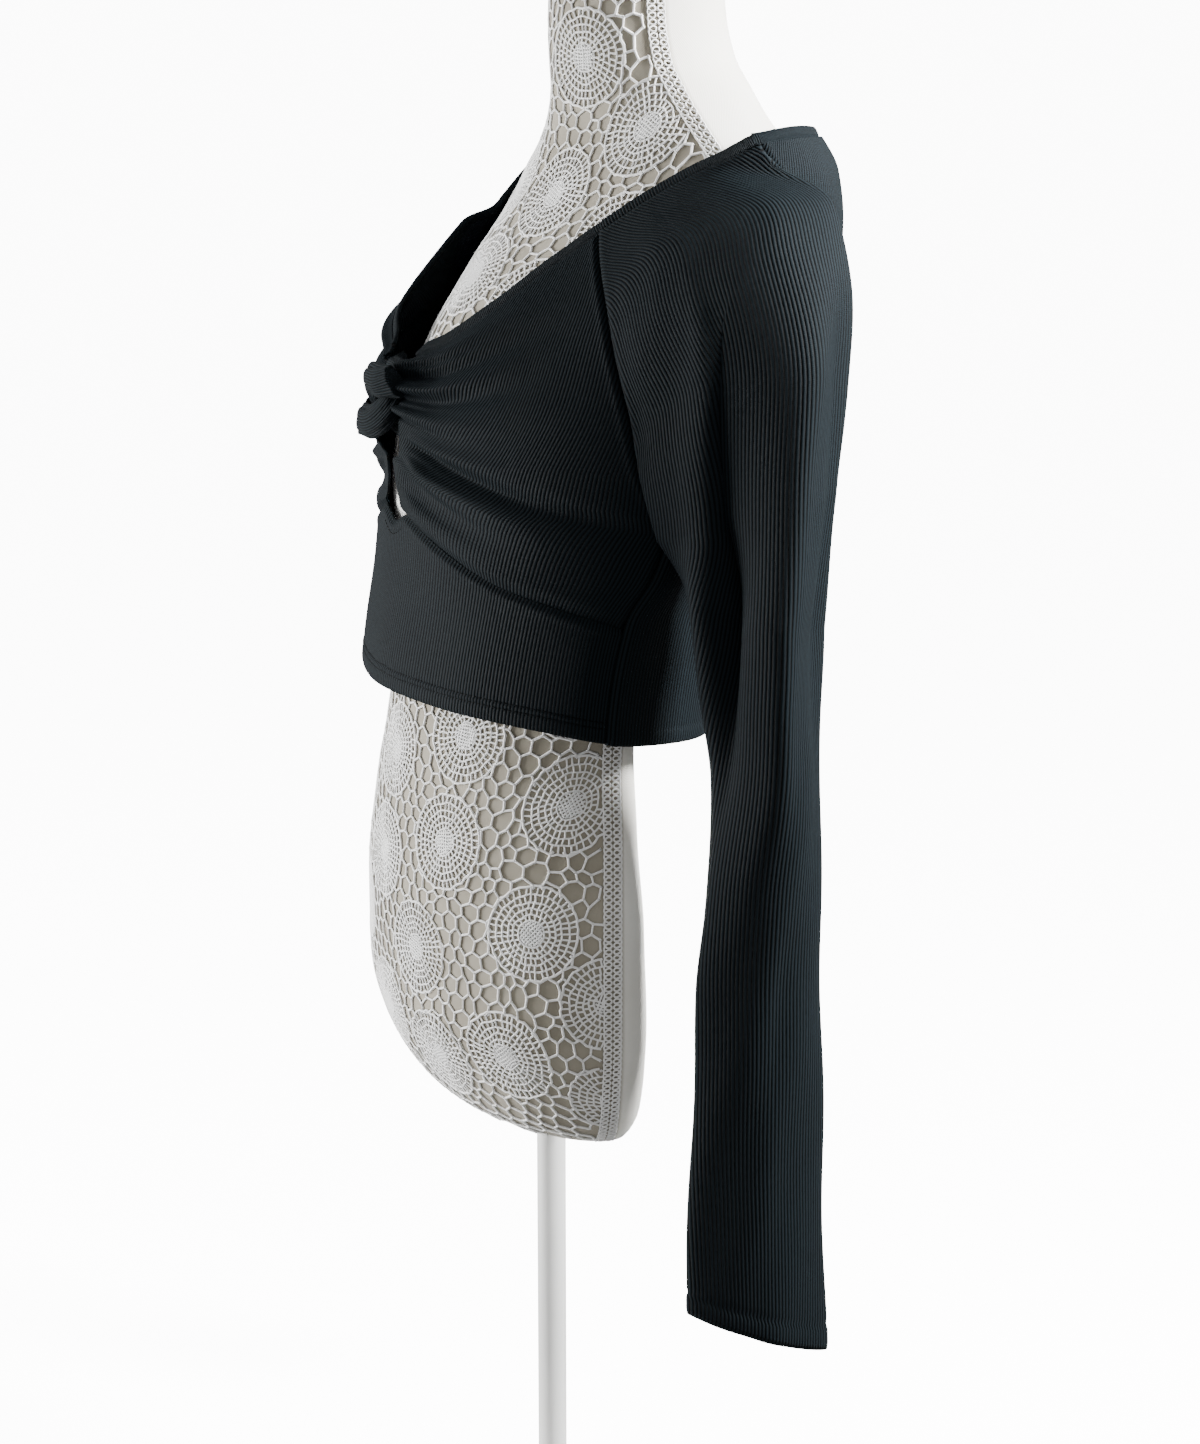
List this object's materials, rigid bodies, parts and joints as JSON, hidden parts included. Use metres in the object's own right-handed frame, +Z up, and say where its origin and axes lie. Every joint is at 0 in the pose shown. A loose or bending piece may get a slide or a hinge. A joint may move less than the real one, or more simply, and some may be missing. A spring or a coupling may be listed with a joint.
{
  "type": "long-sleeved crop top on a limbless dress form",
  "caption": "Rib-knit crop top with raglan sleeves, a deep V neckline, a twisted knot and a keyhole at the front, worn by a limbless dress form on a pole stand.",
  "frame": {"origin": "on the underside of the stand base, below the middle of the dress form", "axes": "+Z up, -Y towards the front of the top, +X towards the wearer's left"},
  "size_m": [0.439, 0.2837, 1],
  "materials": {
    "rib_knit": "matte fine rib knit, black",
    "form_cover": "matte lace over off-white cloth",
    "stand_paint": "satin white"
  },
  "bodies": {
    "root": {"bust_left": "rib_knit", "bust_right": "rib_knit", "midriff_front": "rib_knit", "back_panel": "rib_knit", "sleeve_left": "rib_knit", "sleeve_right": "rib_knit", "neck_band": "rib_knit", "knot_left": "rib_knit", "knot_right": "rib_knit", "dress_form": "form_cover", "stand_pole": "stand_paint", "stand_base": "stand_paint"}
  },
  "joints": []
}
